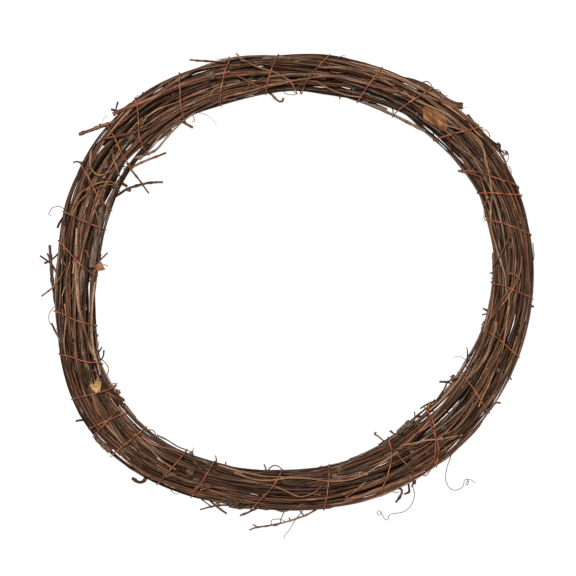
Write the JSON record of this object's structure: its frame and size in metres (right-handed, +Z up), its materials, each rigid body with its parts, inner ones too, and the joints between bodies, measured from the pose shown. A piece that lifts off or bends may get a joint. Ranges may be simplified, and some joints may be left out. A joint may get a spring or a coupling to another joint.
{
  "type": "grapevine wreath",
  "caption": "Round wreath base of dried vine canes laid side by side round a ring and bound with a thin wire wound round them, with twigs and a dead leaf caught in it.",
  "frame": {"origin": "on the table, under the middle of the wreath's footprint", "axes": "+Z up from the table, square to the ring; +X to the right and +Y to the top of the wreath as the picture shows it"},
  "size_m": [0.4166, 0.4064, 0.0351],
  "materials": {
    "bark_dark": "dull dark brown vine bark, finely furrowed along the cane",
    "bark_red": "dull red-brown vine bark with a slight sheen on its smooth ridges",
    "bark_tan": "dry tan-brown bark, smooth on the young shoots",
    "wire_rust": "rust-brown coated wire, satin, worn in places",
    "dead_leaf": "dry, curled and matt, with raised veins"
  },
  "bodies": {
    "root": {"cane_01": "bark_dark", "cane_02": "bark_red", "cane_03": "bark_tan", "cane_04": "bark_dark", "cane_05": "bark_red", "cane_06": "bark_tan", "cane_07": "bark_dark", "cane_08": "bark_red", "cane_09": "bark_tan", "cane_10": "bark_dark", "cane_11": "bark_red", "cane_12": "bark_tan", "cane_13": "bark_dark", "cane_14": "bark_red", "cane_15": "bark_tan", "cane_16": "bark_dark", "cane_17": "bark_red", "cane_18": "bark_tan", "cane_19": "bark_dark", "cane_20": "bark_red", "cane_21": "bark_tan", "cane_22": "bark_dark", "cane_23": "bark_red", "cane_24": "bark_tan", "cane_25": "bark_dark", "cane_26": "bark_red", "cane_27": "bark_tan", "cane_28": "bark_dark", "cane_29": "bark_red", "cane_30": "bark_tan", "cane_31": "bark_dark", "cane_outer_butt": "bark_red", "cane_inner_butt": "bark_tan", "cane_frayed_butt": "bark_dark", "cane_32": "bark_dark", "cane_33": "bark_tan", "binding_wire": "wire_rust", "leaf_scrap": "dead_leaf", "husk_scrap": "dead_leaf"}
  },
  "joints": []
}
